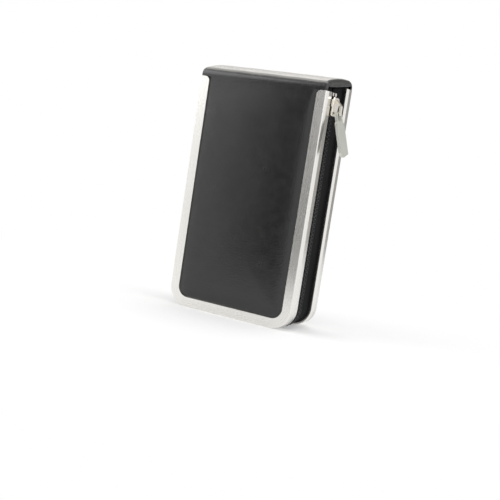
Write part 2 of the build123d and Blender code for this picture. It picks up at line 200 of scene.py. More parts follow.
class Graph:
    """The node tree of one material, with short calls for what the finishes share."""

    def __init__(self, name: str) -> None:
        """Start a material with its principled shader.

        Args:
            name: The material's name.
        """
        self.material = bpy.data.materials.new(name)
        self.material.use_nodes = True
        self.tree = self.material.node_tree
        self.shader = self.tree.nodes["Principled BSDF"]

    def put(self, socket: Socket, value: object) -> None:
        """Link a socket to another one, or set its own value.

        Args:
            socket: The socket that is set.
            value: Another socket, a number or a tuple.
        """
        if isinstance(value, bpy.types.NodeSocket):
            self.tree.links.new(value, socket)
        elif isinstance(value, tuple) and len(value) == 3 and socket.type == "RGBA":
            socket.default_value = (*value, 1.0)
        else:
            socket.default_value = value

    def node(self, kind: str, inputs: dict[int | str, object], **settings: object) -> bpy.types.Node:
        """Add a node.

        Args:
            kind: Its type, without the ShaderNode prefix.
            inputs: Socket names or numbers with their values or links.
            settings: The node's own options.

        Returns:
            The new node.
        """
        made = self.tree.nodes.new("ShaderNode" + kind)
        for name, value in settings.items():
            setattr(made, name, value)
        for name, value in inputs.items():
            self.put(made.inputs[name], value)
        return made

    def math(self, operation: str, *values: object) -> Socket:
        """The result of one Math node."""
        return self.node("Math", dict(enumerate(values)), operation=operation).outputs[0]

    def mixed(self, first: Socket, share: float, second: Socket) -> Socket:
        """Two factors added, the first in a share and the second in the rest of it."""
        return self.math("MULTIPLY_ADD", first, share, self.math("MULTIPLY", second, 1 - share))

    def shades(self, factor: Socket, *stops: tuple[float, Triple]) -> Socket:
        """A colour ramp.

        Args:
            factor: What it runs over.
            stops: Places from 0 to 1, each with its colour.

        Returns:
            The colour.
        """
        ramp = self.node("ValToRGB", {0: factor})
        for element, (place, colour) in zip(ramp.color_ramp.elements, stops):
            element.position = place
            element.color = (*colour, 1.0)
        return ramp.outputs[0]

    def span(self, factor: Socket, low: float, high: float) -> Socket:
        """A factor from 0 to 1 spread over a range of values."""
        return self.node("MapRange", {0: factor, 3: low, 4: high}).outputs[0]

    def axes(self, place: Socket) -> bpy.types.bpy_prop_collection:
        """The three coordinates of a vector."""
        return self.node("SeparateXYZ", {0: place}).outputs

    def millimetres(self, stretch: Triple = (1.0, 1.0, 1.0)) -> Socket:
        """The piece's own coordinates.

        Args:
            stretch: A factor for each axis.

        Returns:
            A vector in millimetres.
        """
        own = self.node("TexCoord", {}).outputs["Object"]
        scale = tuple(part / MM for part in stretch)
        return self.node("VectorMath", {0: own, 1: scale}, operation="MULTIPLY").outputs[0]

    def noise(self, place: Socket, scale: float, detail: float = 3.0) -> Socket:
        """Fractal noise over coordinates, from 0 to 1."""
        inputs = {"Vector": place, "Scale": scale, "Detail": detail}
        return self.node("TexNoise", inputs).outputs["Fac"]

    def relief(self, height: Socket, depth: float, below: Socket | None = None) -> Socket:
        """A bump.

        Args:
            height: Its shape, from 0 to 1.
            depth: Its depth in millimetres.
            below: Another bump that it lies on.

        Returns:
            The bent normal.
        """
        inputs: dict[int | str, object] = {"Height": height, "Distance": depth * MM}
        if below is not None:
            inputs["Normal"] = below
        return self.node("Bump", inputs).outputs[0]

    def dress(self, **inputs: object) -> Material:
        """Set the principled shader's sockets.

        Args:
            inputs: Their names, with _ for spaces, and their values or links.

        Returns:
            The finished material.
        """
        for name, value in inputs.items():
            self.put(self.shader.inputs[name.replace("_", " ")], value)
        return self.material


@dataclass(frozen=True)
class GrainedLeather:
    """Black cover leather with a fine pebble grain and a soft polish."""

    name: str = "grained_leather"
    dark: Triple = (0.006, 0.0065, 0.006)
    light: Triple = (0.011, 0.0115, 0.011)
    roughness: tuple[float, float] = (0.2, 0.3)
    specular: float = 0.62
    grain: float = 0.55
    warp: float = 0.35
    warp_scale: float = 0.9
    pore_scale: float = 6.0
    fold_scale: float = 0.35
    depth: float = 0.045

    def build(self) -> Material:
        """Make the material.

        Returns:
            Leather whose pebbles are warped cells, with finer pores on them.
        """
        graph = Graph(self.name)
        place = graph.millimetres()
        inputs = {"Vector": place, "Scale": self.warp_scale, "Detail": 2.0}
        shift = graph.node("TexNoise", inputs).outputs["Color"]
        inputs = {0: shift, 1: (self.warp, self.warp, self.warp), 2: place}
        bent = graph.node("VectorMath", inputs, operation="MULTIPLY_ADD").outputs[0]
        inputs = {"Vector": bent, "Scale": 1 / self.grain}
        cells = graph.node("TexVoronoi", inputs, feature="SMOOTH_F1").outputs["Distance"]
        pores = graph.noise(place, self.pore_scale, 2.0)
        folds = graph.noise(place, self.fold_scale, 4.0)
        pebbles = graph.relief(cells, self.depth)
        return graph.dress(
            Base_Color=graph.shades(folds, (0.3, self.dark), (0.75, self.light)),
            Roughness=graph.span(folds, *self.roughness),
            Specular_IOR_Level=self.specular,
            Normal=graph.relief(pores, self.depth / 4, pebbles),
        )


@dataclass(frozen=True)
class BrushedMetal:
    """Bare sheet or cast metal with long brush lines."""

    name: str
    colour: Triple
    shade: Triple
    brushing: Brushing = Brushing.UPRIGHT
    roughness: tuple[float, float] = (0.24, 0.31)
    line: float = 0.3
    depth: float = 0.0014
    broad_scale: float = 0.4
    mark_scale: float = 0.12
    coarse_share: float = 0.45
    mark_share: float = 0.5
    crease: float = 0.0
    crease_round: float = 0.02
    upright_stretch: float = 0.02
    frame_stretch: float = 0.006

    def build(self) -> Material:
        """Make the material.

        Returns:
            Metal whose tone, polish and relief all follow the brush lines.
        """
        graph = Graph(self.name)
        place = graph.millimetres()
        if self.brushing is Brushing.ROUND_THE_FRAME:
            lines = self.round_the_frame(graph, place)
        else:
            lines = graph.millimetres((1.0, 1.0, self.upright_stretch))
        fine = graph.noise(lines, 4 / self.line, 2.0)
        coarse = graph.noise(lines, 1 / self.line, 3.0)
        broad = graph.noise(lines, self.broad_scale, 2.0)
        marks = graph.noise(place, self.mark_scale, 4.0)
        tone = graph.mixed(coarse, self.coarse_share, broad)
        polish = graph.mixed(marks, self.mark_share, coarse)
        return graph.dress(
            Base_Color=graph.shades(tone, (0.3, self.shade), (0.7, self.colour)),
            Metallic=1.0,
            Roughness=graph.span(polish, *self.roughness),
            Normal=graph.relief(fine, self.depth, self.creased(graph, place)),
        )

    def creased(self, graph: Graph, place: Socket) -> Socket | None:
        """The shallow ridge that is rolled along the middle of a trim's side flange.

        Args:
            graph: The material's nodes.
            place: The piece's coordinates in millimetres.

        Returns:
            The ridge as a bump, or nothing for metal without one.
        """
        if not self.crease:
            return None
        deep = graph.math("ABSOLUTE", graph.axes(place)[1])
        beside = graph.math("SUBTRACT", deep, CASE.depth / 2 - CASE.side_flange / 2)
        square = graph.math("MULTIPLY_ADD", beside, beside, self.crease_round)
        return graph.relief(graph.math("MULTIPLY", graph.math("SQRT", square), -1.0), self.crease)

    def round_the_frame(self, graph: Graph, place: Socket) -> Socket:
        """Coordinates that hardly change along the trim, so that lines drawn in them follow it.

        Args:
            graph: The material's nodes.
            place: The piece's coordinates in millimetres.

        Returns:
            A vector of the distance in from the outline, the depth and a slow change along.
        """
        x, y, z = graph.axes(place)
        across = graph.math("SUBTRACT", graph.math("ABSOLUTE", x), CASE.width / 2 - CASE.corner)
        below = graph.math("SUBTRACT", CASE.corner, z)
        right = graph.math("MAXIMUM", across, 0.0)
        down = graph.math("MAXIMUM", below, 0.0)
        squares = graph.math("MULTIPLY_ADD", right, right, graph.math("MULTIPLY", down, down))
        inner = graph.math("MINIMUM", graph.math("MAXIMUM", across, below), 0.0)
        inset = graph.math("ADD", graph.math("SQRT", squares), inner)
        along = graph.math("MULTIPLY", graph.math("SUBTRACT", z, x), self.frame_stretch)
        return graph.node("CombineXYZ", {0: inset, 1: y, 2: along}).outputs[0]


@dataclass(frozen=True)
class WovenCloth:
    """Plain cloth, tape or webbing: two sets of threads over and under each other."""

    name: str
    dark: Triple
    light: Triple
    pitch: float
    rib: float
    depth: float = 0.05
    sheen: float = 0.3
    roughness: float = 0.85
    specular: float = 0.3
    crossing: float = 0.3
    ribbing: float = 0.2
    fuzz: float = 0.3
    fuzz_scale: float = 5.0
    wear_scale: float = 0.12
    wear_share: float = 0.6
    sheen_roughness: float = 0.4

    def build(self) -> Material:
        """Make the material.

        Returns:
            Cloth whose threads are a product of two waves, with ribs and fuzz on them.
        """
        graph = Graph(self.name)
        place = graph.millimetres()
        x, y, z = graph.axes(place)
        turn = 2 * math.pi
        across = graph.math("MULTIPLY", graph.math("ADD", x, y), turn / self.pitch)
        warp = graph.math("SINE", across)
        weft = graph.math("SINE", graph.math("MULTIPLY", z, turn / self.rib))
        crossed = graph.math("MULTIPLY", warp, weft)
        weave = graph.math("MULTIPLY_ADD", crossed, self.crossing, 0.5)
        ribs = graph.math("MULTIPLY_ADD", weft, self.ribbing, weave)
        fuzz = graph.noise(place, self.fuzz_scale)
        tone = graph.mixed(graph.noise(place, self.wear_scale), self.wear_share, ribs)
        return graph.dress(
            Base_Color=graph.shades(tone, (0.25, self.dark), (0.75, self.light)),
            Roughness=self.roughness,
            Specular_IOR_Level=self.specular,
            Sheen_Weight=self.sheen,
            Sheen_Roughness=self.sheen_roughness,
            Normal=graph.relief(graph.math("MULTIPLY_ADD", fuzz, self.fuzz, ribs), self.depth),
        )


@dataclass(frozen=True)
class Moulded:
    """Plastic, thread, foam or board: one colour with a fine uneven skin."""

    name: str
    dark: Triple
    light: Triple
    roughness: tuple[float, float]
    scale: float
    depth: float

    def build(self) -> Material:
        """Make the material.

        Returns:
            A material that is cloudy in colour and finely uneven in gloss and relief.
        """
        graph = Graph(self.name)
        place = graph.millimetres()
        skin = graph.noise(place, self.scale)
        cloud = graph.noise(place, self.scale / 12)
        return graph.dress(
            Base_Color=graph.shades(cloud, (0.3, self.dark), (0.7, self.light)),
            Roughness=graph.span(skin, *self.roughness),
            Normal=graph.relief(skin, self.depth),
        )


class Finishes:
    """Every finish of the case, each made once."""

    def __init__(self) -> None:
        """Make the materials."""
        self.leather = GrainedLeather().build()
        self.trim = BrushedMetal(
            name="brushed_trim_steel",
            colour=(0.86, 0.845, 0.81),
            shade=(0.8, 0.785, 0.75),
            brushing=Brushing.ROUND_THE_FRAME,
            crease=math.tan(math.radians(9)),
        ).build()
        self.slider = BrushedMetal(
            name="slider_cast_metal",
            colour=(0.86, 0.82, 0.74),
            shade=(0.78, 0.735, 0.655),
            roughness=(0.16, 0.26),
            line=0.5,
            depth=0.002,
        ).build()
        self.pull = BrushedMetal(
            name="pull_satin_metal",
            colour=(0.72, 0.735, 0.675),
            shade=(0.66, 0.675, 0.62),
            roughness=(0.32, 0.42),
            line=0.5,
            depth=0.002,
        ).build()
        self.stop = BrushedMetal(
            name="stop_metal",
            colour=(0.75, 0.72, 0.68),
            shade=(0.6, 0.57, 0.53),
            roughness=(0.25, 0.4),
        ).build()
        self.lining = WovenCloth(
            name="lining_cloth",
            dark=(0.02, 0.02, 0.022),
            light=(0.035, 0.035, 0.037),
            pitch=0.42,
            rib=0.38,
            depth=0.04,
        ).build()
        self.panel = WovenCloth(
            name="panel_cloth", dark=(0.03, 0.03, 0.032), light=(0.05, 0.05, 0.053), pitch=0.5, rib=0.46
        ).build()
        # Painted shade: the tape's own black is taken darker still, to stand for the shade in the recess between the
        # two trims.
        self.tape = WovenCloth(
            name="zip_tape_weave",
            dark=(0.0025, 0.0025, 0.003),
            light=(0.006, 0.006, 0.0065),
            pitch=0.5,
            rib=0.7,
            depth=0.06,
            sheen=0.02,
            roughness=0.8,
            specular=0.14,
        ).build()
        self.elastic = WovenCloth(
            name="ribbed_elastic",
            dark=(0.012, 0.012, 0.013),
            light=(0.026, 0.026, 0.028),
            pitch=0.55,
            rib=0.9,
            depth=0.12,
        ).build()
        for use, name, dark, light, roughness, scale, depth in (
            ("coil", "zip_coil_nylon", (0.008, 0.008, 0.009), (0.016, 0.016, 0.017), (0.3, 0.42), 2.0, 0.01),
            ("thread", "sewing_thread", (0.03, 0.03, 0.031), (0.05, 0.05, 0.052), (0.5, 0.7), 8.0, 0.02),
            ("rim", "rim_plastic", (0.01, 0.01, 0.01), (0.016, 0.016, 0.016), (0.4, 0.55), 3.0, 0.01),
            ("board", "stiff_black_board", (0.014, 0.014, 0.014), (0.026, 0.025, 0.024), (0.8, 0.95), 4.0, 0.05),
            ("foam", "padding_foam", (0.5, 0.48, 0.42), (0.62, 0.6, 0.53), (0.85, 1.0), 6.0, 0.1),
        ):
            setattr(self, use, Moulded(name, dark, light, roughness, scale, depth).build())


# ---------------------------------------------------------------- meshes


def finish_mesh(name: str, points: np.ndarray, faces: Faces, material: Material) -> Piece:
    """Make an object from points in millimetres.

    Args:
        name: The piece's name.
        points: Its vertices, one row each.
        faces: Its faces, as vertex numbers.
        material: Its finish.

    Returns:
        The new object, smooth shaded.
    """
    mesh = bpy.data.meshes.new(name)
    mesh.from_pydata((points * MM).tolist(), [], faces)
    mesh.materials.append(material)
    mesh.validate()
    mesh.polygons.foreach_set("use_smooth", [True] * len(mesh.polygons))
    mesh.update()
    piece = bpy.data.objects.new(name, mesh)
    bpy.context.scene.collection.objects.link(piece)
    return piece


def turned_over(faces: Faces) -> Faces:
    """The same faces, looking the other way."""
    return [face[::-1] for face in faces]


def skin_rings(rings: np.ndarray, closed: bool = True) -> Shape:
    """Join closed rings of points into a tube.

    Args:
        rings: Rings by points by coordinates.
        closed: Whether a face closes each of its ends.

    Returns:
        The points as rows, and the faces.
    """
    count, size, _ = rings.shape
    faces = []
    for row in range(count - 1):
        low, high = row * size, (row + 1) * size
        for spot in range(size):
            after = (spot + 1) % size
            faces.append((low + spot, low + after, high + after, high + spot))
    if closed:
        last = (count - 1) * size
        faces += [tuple(range(size))[::-1], tuple(range(last, last + size))]
    return rings.reshape(-1, 3), faces


def run_along(path: np.ndarray) -> np.ndarray:
    """How far each point of a path lies from its start, along it."""
    return np.concatenate(((0,), np.cumsum(np.linalg.norm(np.diff(path, axis=0), axis=1))))


def headings(path: np.ndarray) -> np.ndarray:
    """The way on at each point of a path, one unit long."""
    along = np.gradient(path, axis=0)
    return along / np.linalg.norm(along, axis=1)[:, None]


def tube(path: np.ndarray, radius: float, sides: int) -> Shape:
    """Sweep a round wire along a path, with closed ends.

    Args:
        path: The points of its middle line.
        radius: Its radius.
        sides: How many sides the wire has.

    Returns:
        Its points and faces.
    """
    along = headings(path)
    across = np.cross(along[0], (0.31, 0.87, 0.39))
    turns = np.linspace(0, 2 * math.pi, sides, endpoint=False)
    rings = np.empty((len(path), sides, 3))
    for row, (spot, ahead) in enumerate(zip(path, along)):
        across = across - ahead * (across @ ahead)
        across /= np.linalg.norm(across)
        third = np.cross(ahead, across)
        rings[row] = spot + radius * (np.cos(turns)[:, None] * across + np.sin(turns)[:, None] * third)
    return skin_rings(rings)


@dataclass
class Bundle:
    """Several meshes that are made into one."""

    points: list[np.ndarray] = field(default_factory=list)
    faces: Faces = field(default_factory=list)
    count: int = 0

    def add(self, points: np.ndarray, faces: Faces) -> None:
        """Take in another mesh.

        Args:
            points: Its points.
            faces: Its faces.
        """
        self.points.append(points)
        self.faces.extend(tuple(spot + self.count for spot in face) for face in faces)
        self.count += len(points)

    def shape(self) -> Shape:
        """All the points and faces together."""
        return np.concatenate(self.points), self.faces


@dataclass
class HalfMaker:
    """What makes pieces for one half of the case."""

    half: Half
    finishes: Finishes

    def build(self) -> list[Piece]:
        """Make the pieces."""
        raise NotImplementedError

    def piece(self, name: str, shape: Shape, finish: Material, slot: str, node: str = "") -> Piece:
        """Make a rigid piece and give it its place in the frame.

        Args:
            name: Its name, without the half's prefix.
            shape: Its points and faces.
            finish: Its finish.
            slot: Not used.
            node: The node that it replaces, without the half's prefix.

        Returns:
            The piece, which rides the half's body.
        """
        piece = finish_mesh(f"{self.half.prefix}_{name}", *shape, finish)
        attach(piece, self.half.body)
        if node:
            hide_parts(f"{self.half.prefix}_{node}")
        return piece


# ---------------------------------------------------------------- leather


@dataclass(frozen=True)
class Station:
    """A place along the fold or the spine: the way out there, its depth and how far it is turned."""

    y: float
    z: float
    out_y: float
    out_z: float
    fill: float
    turned: float = 1.0


@dataclass
class LeatherCover(HalfMaker):
    """Leather of one half: the padded face, the fold at its top and that half of the spine."""

    hidden_inset: float = 0.62
    outline_gap: float = 0.02
    fold_radius: float = 3.4
    fold_rows: int = 15
    spine_rows: int = 16
    window_gap: float = 0.1
    window_fade: float = 2.5
    rise: float = 0.6
    rise_length: float = 1.6
    crown: float = 0.8
    crown_length: float = 9.0
    uneven: float = 0.03
    ripple: float = 0.04
    lip: float = 0.4
    lip_lost: float = 0.7
    lip_fade: float = 13.0
    lip_start: float = -0.01
    lip_end: float = 0.12
    end_sharp: float = 0.8
    end_round: float = 2.2
    end_floor: float = 0.6
    end_wall: float = 0.8
    backing: float = 1.38
    skin: float = 0.78
    deepest_hollow: float = 0.9
    join: float = field(init=False)
    fold_y: float = field(init=False)
    fold_z: float = field(init=False)
    cap_faces: int = field(init=False, default=0)

    def build(self) -> list[Piece]:
        """Make the cover, and hide the leather nodes that it replaces.

        Returns:
            The cover alone.
        """
        self.join = self.find_join()
        join_y, join_z, out_y, out_z = self.spine_skin(self.join)
        self.fold_y = join_y - self.fold_radius * out_y
        self.fold_z = join_z - self.fold_radius * out_z
        prefix, side = self.half.prefix, self.half.side
        cover = finish_mesh(f"{prefix}_cover", *self.shape(), self.finishes.leather)
        self.sharpen_caps(cover)
        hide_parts(f"{prefix}_leather", "spine_leather")
        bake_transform(cover)
        return [cover]

    def sharpen_caps(self, cover: Piece) -> None:
        """Keep the edges of the cover's two cut ends crisp.

        Args:
            cover: The cover, whose last faces are those of its ends.
        """
        caps = list(cover.data.polygons)[-self.cap_faces :]
        keys = {key for face in caps for key in face.edge_keys}
        for edge in cover.data.edges:
            edge.use_edge_sharp = edge.key in keys

    def spine_skin(self, along: float) -> tuple[float, float, float, float]:
        """A place on the crowned spine.

        Args:
            along: Distance outwards from the middle of the spine.

        Returns:
            Its y and z, and the y and z of the way out of the surface.
        """
        up = CASE.crowned(along)
        slope = 2 * CASE.crown * along / CASE.spine_reach**2
        length = math.hypot(1, slope)
        y, z = CASE.spine(self.half, along, up)
        ahead_y, ahead_z = CASE.spine(self.half, along + slope / length, up + 1 / length)
        return y, z, ahead_y - y, ahead_z - z

    def find_join(self) -> float:
        """Find where the fold's arc ends, so that it meets the upright face.

        Returns:
            The distance along the spine, found by halving.
        """
        low, high = 5.0, CASE.spine_reach
        for _ in range(40):
            middle = (low + high) / 2
            y, _, out_y, _ = self.spine_skin(middle)
            if y - self.fold_radius * out_y + self.fold_radius > CASE.depth / 2:
                high = middle
            else:
                low = middle
        return low

    def columns(self) -> np.ndarray:
        """Places across the cover, close together near its edges.

        Returns:
            Shares of its half width, from -1 to 1.
        """
        middle = np.linspace(0, 22, 23)
        slope = np.linspace(22.6, 28.2, 15)
        ends = np.array((28.6, 28.85, 29.05, 29.25, 29.45, 29.6, 29.74, 29.85, 29.93, 29.98, 30.0))
        right = np.concatenate((middle, slope, ends)) / 30
        return np.concatenate((-right[:0:-1], right))

    def heights(self) -> np.ndarray:
        """Rows of the face, close together where its shape changes.

        Returns:
            Their heights, from the bottom up.
        """
        top = self.half.height
        over = np.array((-0.1, -0.01, 0.03, 0.07, 0.12, 0.22, 0.4, 0.7, 1.0, 1.3))
        return np.concatenate(
            (
                np.array((0.62, 0.7, 0.9, 1.2, 1.6, 2.1, 2.7, 3.3, 3.8)),
                np.arange(4.1, 14.0, 0.45),
                np.arange(14.2, top - 6.0, 1.4),
                np.arange(top - 5.6, top - 0.2, 0.6),
                top + over[top + over < self.fold_z - 0.15],
                np.array((self.fold_z,)),
            )
        )

    def puff(self, x: np.ndarray, z: Values) -> tuple[np.ndarray, np.ndarray]:
        """How far the padding lifts the leather in the window.

        Args:
            x: Places across the case.
            z: Heights.

        Returns:
            The lift, and the distance in from the window's edge.
        """
        inside = CASE.inset(x, z) - CASE.flange - self.window_gap
        reach = np.maximum(inside, 0)
        lift = self.rise * (1 - np.exp(-reach / self.rise_length))
        lift += self.crown * (1 - np.exp(-reach / self.crown_length))
        uneven = self.uneven * np.sin(x * 0.31 + 1.1 * np.sin(z * 0.083)) * np.sin(z * 0.127 + 0.7)
        return lift + uneven * smoothstep(reach, 0.0, 6.0), inside

    def shape(self) -> Shape:
        """Draw the cover for the rear half, and put it on its own side.

        Returns:
            Its points, and its faces with those of its two ends last.
        """
        shares = self.columns()
        rings = [self.face_ring(z, shares) for z in self.heights()]
        rings += [self.spine_ring(station, shares) for station in self.stations()]
        points, faces = skin_rings(np.array(rings), closed=False)
        size, across = len(rings[0]), len(shares)
        caps = []
        for base in (0, (len(rings) - 1) * size):
            for spot in range(across - 1):
                # the inner row runs back under the outer one, past the two points of each end wall
                under = size - 3 - spot
                quad = (base + spot, base + spot + 1, base + under - 1, base + under)
                caps.append(quad if base else quad[::-1])
            turn = 1 if base else -1
            caps.append(tuple(base + spot for spot in range(across - 1, across + 3))[::turn])
            caps.append((base + size - 1, base, base + size - 3, base + size - 2)[::turn])
        self.cap_faces = len(caps)
        if self.half is Half.FRONT:
            return points * np.array((1.0, -1.0, 1.0)), faces + caps
        return points, turned_over(faces + caps)

    def stations(self) -> list[Station]:
        """Places along the fold and the spine, from the face to the spine's middle.

        Returns:
            One for each row of points.
        """
        made = []
        _, _, out_y, out_z = self.spine_skin(self.join)
        sweep = math.atan2(out_z, out_y)
        full = CASE.crowned(self.join) - CASE.spine_under
        for turned in np.linspace(0, 1, self.fold_rows)[1:]:
            out_y, out_z = math.cos(sweep * turned), math.sin(sweep * turned)
            y, z = self.fold_y + self.fold_radius * out_y, self.fold_z + self.fold_radius * out_z
            made.append(Station(y, z, out_y, out_z, self.backing + (full - self.backing) * turned, turned))
        for along in np.linspace(self.join, 0, self.spine_rows)[1:]:
            made.append(Station(*self.spine_skin(along), CASE.crowned(along) - CASE.spine_under))
        return made

    def face_ring(self, z: float, shares: np.ndarray) -> np.ndarray:
        """One closed row of the face: the outer skin, then back along the inner.

        Args:
            z: Its height.
            shares: Places across as shares of the half width.

        Returns:
            The row's points.
        """
        top = self.half.height
        start, end = top + self.lip_start, top + self.lip_end
        over_trim = smoothstep(z, start, end)
        reach = CASE.half_width(z, self.hidden_inset) + over_trim * (self.hidden_inset - self.outline_gap)
        x = shares * reach
        lift, inside = self.puff(x, z)
        free = smoothstep(inside, 0.0, self.window_fade)
        over_lip = smoothstep(z, start - self.lip_fade * free, end + (self.fold_z - top) * free)
        out = (lift - self.hidden_inset) * (1 - over_lip) + self.lip_lift(x) * over_lip
        out = out - over_trim * self.rounding(x, self.end_sharp)
        depth = CASE.depth / 2
        low = depth - self.backing
        outer = rows(x, depth + out, z)
        inner_x = np.clip(x, -reach + self.end_wall, reach - self.end_wall)
        inner_y = low + np.minimum(lift * (1 - over_lip), self.deepest_hollow)
        inner = rows(inner_x, inner_y, z)[::-1]
        return np.concatenate((outer, [(x[-1], low, z)], inner, [(x[0], low, z)]))

    def lip_lift(self, x: np.ndarray) -> np.ndarray:
        """How far the padding still lifts the leather where it turns over the top."""
        return self.lip * (1 - np.abs(x / (CASE.width / 2)) ** 3)

    def rounding(self, x: np.ndarray, radius: float) -> np.ndarray:
        """How far a rounded end falls away below the surface."""
        beyond = np.clip(np.abs(x) - (CASE.width / 2 - radius), 0, radius)
        return radius - np.sqrt(np.maximum(radius * radius - beyond * beyond, 0))

    def spine_ring(self, place: Station, shares: np.ndarray) -> np.ndarray:
        """One closed row of the fold or the spine: the outer skin, then back along the inner.

        Args:
            place: Where the row lies.
            shares: Places across as shares of the half width.

        Returns:
            The row's points.
        """
        reach = CASE.width / 2
        x = shares * reach
        rounder = min(self.end_round, place.fill - self.end_floor) - self.end_sharp
        fall = self.rounding(x, self.end_sharp + rounder * place.turned)
        ripple = self.ripple * place.turned * np.sin(x * 0.45 + 0.6) * smoothstep(place.y, 0.0, 4.0)
        out = self.lip_lift(x) * (1 - self.lip_lost * place.turned) - fall + ripple

        def row(across: np.ndarray, above: Values) -> np.ndarray:
            """Points across the row, at a distance out from the place."""
            y, z = place.y + place.out_y * above, place.z + place.out_z * above
            return rows(across, y, z)

        inner_x = np.clip(x, -reach + self.end_wall, reach - self.end_wall)
        low = row(x[[-1, 0]], -place.fill)
        return np.concatenate((row(x, out), low[:1], row(inner_x, -self.skin)[::-1], low[1:]))


# ---------------------------------------------------------------- zip


def tray_path(inset: float, top: float, step: float) -> tuple[np.ndarray, np.ndarray]:
    """Points down the left side, under the bottom and up the right side of the outline.

    Args:
        inset: How far inside the case's outline it runs.
        top: Height at which it starts and ends.
        step: Distance between its points.

    Returns:
        Its points across and up, and the way out of the case at each.
    """
    radius = CASE.corner - inset
    centre = CASE.width / 2 - CASE.corner
    upright, bend = top - CASE.corner, math.pi / 2 * radius
    edges = np.cumsum((0, upright, bend, 2 * centre, bend, upright))
    places = np.linspace(0, edges[-1], max(int(edges[-1] / step), 2))
    angle = np.zeros_like(places)
    x, z = np.empty_like(places), np.empty_like(places)
    for leg, (low, high) in enumerate(zip(edges[:-1], edges[1:])):
        here = (places >= low) & (places <= high)
        gone = places[here] - low
        side = -1 if leg < 2 else 1
        if leg in (0, 4):
            angle[here] = math.pi if leg == 0 else 0.0
            x[here] = side * (centre + radius)
            z[here] = top - gone if leg == 0 else CASE.corner + gone
        elif leg == 2:
            angle[here] = -math.pi / 2
            x[here], z[here] = gone - centre, inset
        else:
            angle[here] = (math.pi if leg == 1 else -math.pi / 2) + gone / radius
            x[here] = side * centre + radius * np.cos(angle[here])
            z[here] = CASE.corner + radius * np.sin(angle[here])
    return rows(x, z), rows(np.cos(angle), np.sin(angle))


@dataclass
class ZipCoil(HalfMaker):
    """One row of the zip: a nylon spiral sewn along the edge of its tape."""

    inset: float = 1.6
    top: float = 95.4
    pitch: float = 1.6
    points_a_turn: int = 14
    wire: float = 0.27
    middle: float = 0.6
    reach: float = 0.9
    lift: float = 0.75
    rise: float = 0.44
    stitch_at: float = 1.1
    stitch_wire: float = 0.1
    stitch_sink: float = 0.06
    stitch_sway: float = 0.09
    stitch_phase: float = 1.3

    def build(self) -> list[Piece]:
        """Make the row.

        Returns:
            The spiral and its sewing thread.
        """
        path, out = tray_path(self.inset, self.top, self.pitch / self.points_a_turn)
        turn = 2 * math.pi * run_along(path) / self.pitch + (0 if self.half is Half.FRONT else math.pi)
        spiral = self.place(path, out, self.middle - self.reach * np.cos(turn), self.lift + self.rise * np.sin(turn))
        sewn = self.lift + self.rise + self.wire - self.stitch_sink
        sewn = sewn + self.stitch_sway * np.cos(turn + self.stitch_phase)
        thread = self.place(path, out, self.stitch_at, sewn)[::3]
        return [
            self.piece("zip_coil", tube(spiral, self.wire, COIL_SIDES), self.finishes.coil, "zip_coil", "zip_teeth"),
            self.piece("coil_stitches", tube(thread, self.stitch_wire, THREAD_SIDES), self.finishes.thread, "zip_coil"),
        ]

    def place(self, path: np.ndarray, out: np.ndarray, aside: Values, above: np.ndarray) -> np.ndarray:
        """Put points beside and above the path.

        Args:
            path: The path, across and up.
            out: The way out of the case at each of its points.
            aside: Distances from the zip's middle towards this half.
            above: Distances outwards.

        Returns:
            The points in the case's own coordinates.
        """
        across, up = (path + out * above[:, None]).T
        return rows(across, CASE.zip_y + self.half.side * aside, up)


@dataclass
class ZipTape(HalfMaker):
    """Woven tape of one half, held under its rim, with a selvage beside the coil."""

    inset: float = 1.6
    thickness: float = 0.5
    edge: float = 0.7
    clamped: float = 9.75
    rim_end: float = 6.9
    under_roof: float = 0.05
    stations: int = 260
    crowding: float = 1.15
    wave: float = 0.16
    selvage: float = 0.12
    selvage_at: float = 1.9
    selvage_width: float = 0.35
    narrowest_sheet: float = 10.0

    def build(self) -> list[Piece]:
        """Make the tape.

        Returns:
            The tape alone.
        """
        side = self.half.side
        start, end = CASE.zip_y + side * self.edge, side * self.clamped
        lines = 30 if self.half is Half.REAR else 16
        places = start + (end - start) * np.linspace(0, 1, lines) ** self.crowding
        outer = np.array([self.line(y, 0.0) for y in places])
        inner = np.array([self.line(y, self.thickness) for y in places])
        rings = np.concatenate((outer, inner[::-1])).transpose(1, 0, 2)[:, ::side]
        tape = self.piece("tape", skin_rings(rings), self.finishes.tape, "zip_tape", "zip_tape")
        return [tape]

    def line(self, y: float, depth: float) -> np.ndarray:
        """One line along the tape.

        Args:
            y: Where it lies between the zip and the rim.
            depth: How far it lies under the tape's outer face.

        Returns:
            Its points.
        """
        path, out = tray_path(self.inset + depth, CASE.roof(y) - self.under_roof, 0.5)
        pick = np.linspace(0, len(path) - 1, self.stations)
        spots = np.arange(len(path))
        path, out = (np.stack([np.interp(pick, spots, way[:, n]) for n in (0, 1)], axis=1) for way in (path, out))
        lift = np.zeros(self.stations)
        if depth == 0:
            from_zip = abs(y - CASE.zip_y) - self.edge
            if self.half is Half.REAR:
                free = smoothstep(self.rim_end - abs(y), 0.0, 1.6)
                free = free * smoothstep(from_zip, 1.5, 4.0)
                wave = 0.5 + 0.5 * np.sin(path[:, 1] * 0.21 + path[:, 0] * 0.17 + y * 0.4)
                lift = self.wave * free * wave
            lift = lift + self.selvage * math.exp(-(((from_zip - self.selvage_at) / self.selvage_width) ** 2))
        across, up = (path + out * lift[:, None]).T
        return rows(across, y, up)


# ---------------------------------------------------------------- trays


